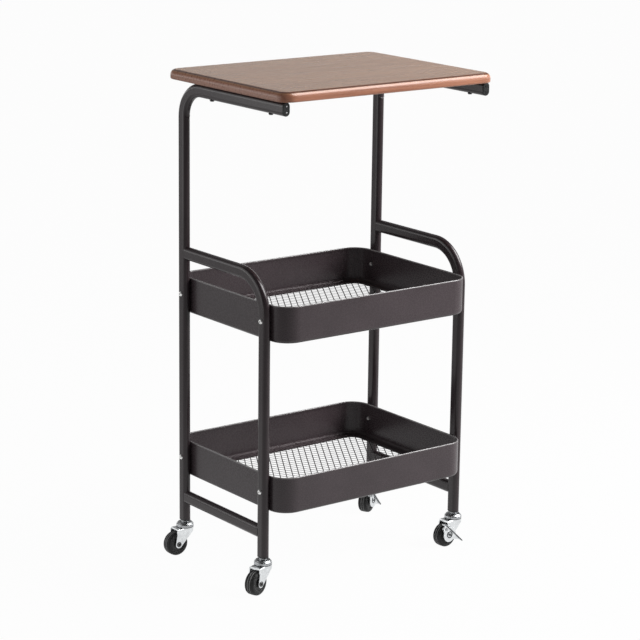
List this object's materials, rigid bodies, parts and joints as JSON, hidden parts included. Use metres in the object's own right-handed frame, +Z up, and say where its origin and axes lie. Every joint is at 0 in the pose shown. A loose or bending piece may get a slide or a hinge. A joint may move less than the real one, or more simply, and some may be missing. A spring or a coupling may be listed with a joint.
{
  "type": "rolling storage cart",
  "caption": "Rolling cart with a wooden table top on cantilevered tube arms, sheet-metal trays with net floors, side handle bars and swivel casters, some with foot brakes.",
  "frame": {"origin": "on the floor under the middle of the cart's bounding box, casters as pictured", "axes": "+X to the cart's right, +Y to its back, +Z up; the top overhangs toward the front, -Y"},
  "size_m": [0.4691, 0.337, 0.8424],
  "materials": {
    "wood": "satin oiled wood",
    "frame_coat": "satin powder coat",
    "tray_coat": "satin powder coat",
    "net_coat": "satin powder coat",
    "black_plastic": "moulded",
    "screw_steel": "plain steel",
    "black_screw": "blackened",
    "bearing_steel": "bright",
    "fork_zinc": "bright zinc plate",
    "lever_steel": "bright zinc plate",
    "tyre_rubber": "matt rubber",
    "hub_plastic": "moulded"
  },
  "bodies": {
    "frame": {"table_top": "wood", "left_upright": "frame_coat", "right_upright": "frame_coat", "left_front_leg": "frame_coat", "right_front_leg": "frame_coat", "left_lower_rail": "frame_coat", "right_lower_rail": "frame_coat", "left_arm_plug": "black_plastic", "right_arm_plug": "black_plastic", "upper_tray": "tray_coat", "lower_tray": "tray_coat", "upper_tray_net": "net_coat", "lower_tray_net": "net_coat", "upper_tray_screws": "screw_steel", "lower_tray_screws": "screw_steel", "upper_tray_nuts": "screw_steel", "lower_tray_nuts": "screw_steel", "table_screws": "black_screw", "front_left_socket": "black_plastic", "front_left_stem": "bearing_steel", "front_left_bearing_cup": "bearing_steel", "front_left_bearing_balls": "bearing_steel", "front_right_socket": "black_plastic", "front_right_stem": "bearing_steel", "front_right_bearing_cup": "bearing_steel", "front_right_bearing_balls": "bearing_steel", "rear_left_socket": "black_plastic", "rear_left_stem": "bearing_steel", "rear_left_bearing_cup": "bearing_steel", "rear_left_bearing_balls": "bearing_steel", "rear_right_socket": "black_plastic", "rear_right_stem": "bearing_steel", "rear_right_bearing_cup": "bearing_steel", "rear_right_bearing_balls": "bearing_steel"},
    "front_left_caster": {"front_left_fork": "fork_zinc", "front_left_axle": "bearing_steel"},
    "front_left_wheel": {"front_left_tyre": "tyre_rubber", "front_left_hub": "hub_plastic"},
    "front_right_caster": {"front_right_fork": "fork_zinc", "front_right_axle": "bearing_steel", "front_right_brake_pivot": "bearing_steel"},
    "front_right_wheel": {"front_right_tyre": "tyre_rubber", "front_right_hub": "hub_plastic"},
    "front_right_brake": {"front_right_brake_lever": "lever_steel"},
    "rear_left_caster": {"rear_left_fork": "fork_zinc", "rear_left_axle": "bearing_steel"},
    "rear_left_wheel": {"rear_left_tyre": "tyre_rubber", "rear_left_hub": "hub_plastic"},
    "rear_right_caster": {"rear_right_fork": "fork_zinc", "rear_right_axle": "bearing_steel", "rear_right_brake_pivot": "bearing_steel"},
    "rear_right_wheel": {"rear_right_tyre": "tyre_rubber", "rear_right_hub": "hub_plastic"},
    "rear_right_brake": {"rear_right_brake_lever": "lever_steel"}
  },
  "joints": [
    {"name": "front_left_swivel", "type": "hinge", "parent": "frame", "child": "front_left_caster", "pos_m": [-0.194, -0.104, 0.047], "axis": [0, 0, 1], "continuous": true},
    {"name": "front_left_spin", "type": "hinge", "parent": "front_left_caster", "child": "front_left_wheel", "pos_m": [-0.21302, -0.11018, 0.0208], "axis": [-0.309, 0.9511, 0], "continuous": true},
    {"name": "front_right_swivel", "type": "hinge", "parent": "frame", "child": "front_right_caster", "pos_m": [0.218, -0.104, 0.047], "axis": [0, 0, 1], "continuous": true},
    {"name": "front_right_spin", "type": "hinge", "parent": "front_right_caster", "child": "front_right_wheel", "pos_m": [0.19805, -0.1054, 0.0208], "axis": [-0.0698, 0.9976, 0], "continuous": true},
    {"name": "front_right_brake_tip", "type": "hinge", "parent": "front_right_caster", "child": "front_right_brake", "pos_m": [0.18989, -0.11769, 0.0356], "axis": [0.0698, -0.9976, 0], "range_deg": [0, 25]},
    {"name": "rear_left_swivel", "type": "hinge", "parent": "frame", "child": "rear_left_caster", "pos_m": [-0.194, 0.129, 0.047], "axis": [0, 0, 1], "continuous": true},
    {"name": "rear_left_spin", "type": "hinge", "parent": "rear_left_caster", "child": "rear_left_wheel", "pos_m": [-0.214, 0.12865, 0.0208], "axis": [-0.0175, 0.9998, 0], "continuous": true},
    {"name": "rear_right_swivel", "type": "hinge", "parent": "frame", "child": "rear_right_caster", "pos_m": [0.218, 0.129, 0.047], "axis": [0, 0, 1], "continuous": true},
    {"name": "rear_right_spin", "type": "hinge", "parent": "rear_right_caster", "child": "rear_right_wheel", "pos_m": [0.20034, 0.11961, 0.0208], "axis": [-0.4695, 0.8829, 0], "continuous": true},
    {"name": "rear_right_brake_tip", "type": "hinge", "parent": "rear_right_caster", "child": "rear_right_brake", "pos_m": [0.19789, 0.10505, 0.0356], "axis": [0.4695, -0.8829, 0], "range_deg": [0, 25]}
  ]
}
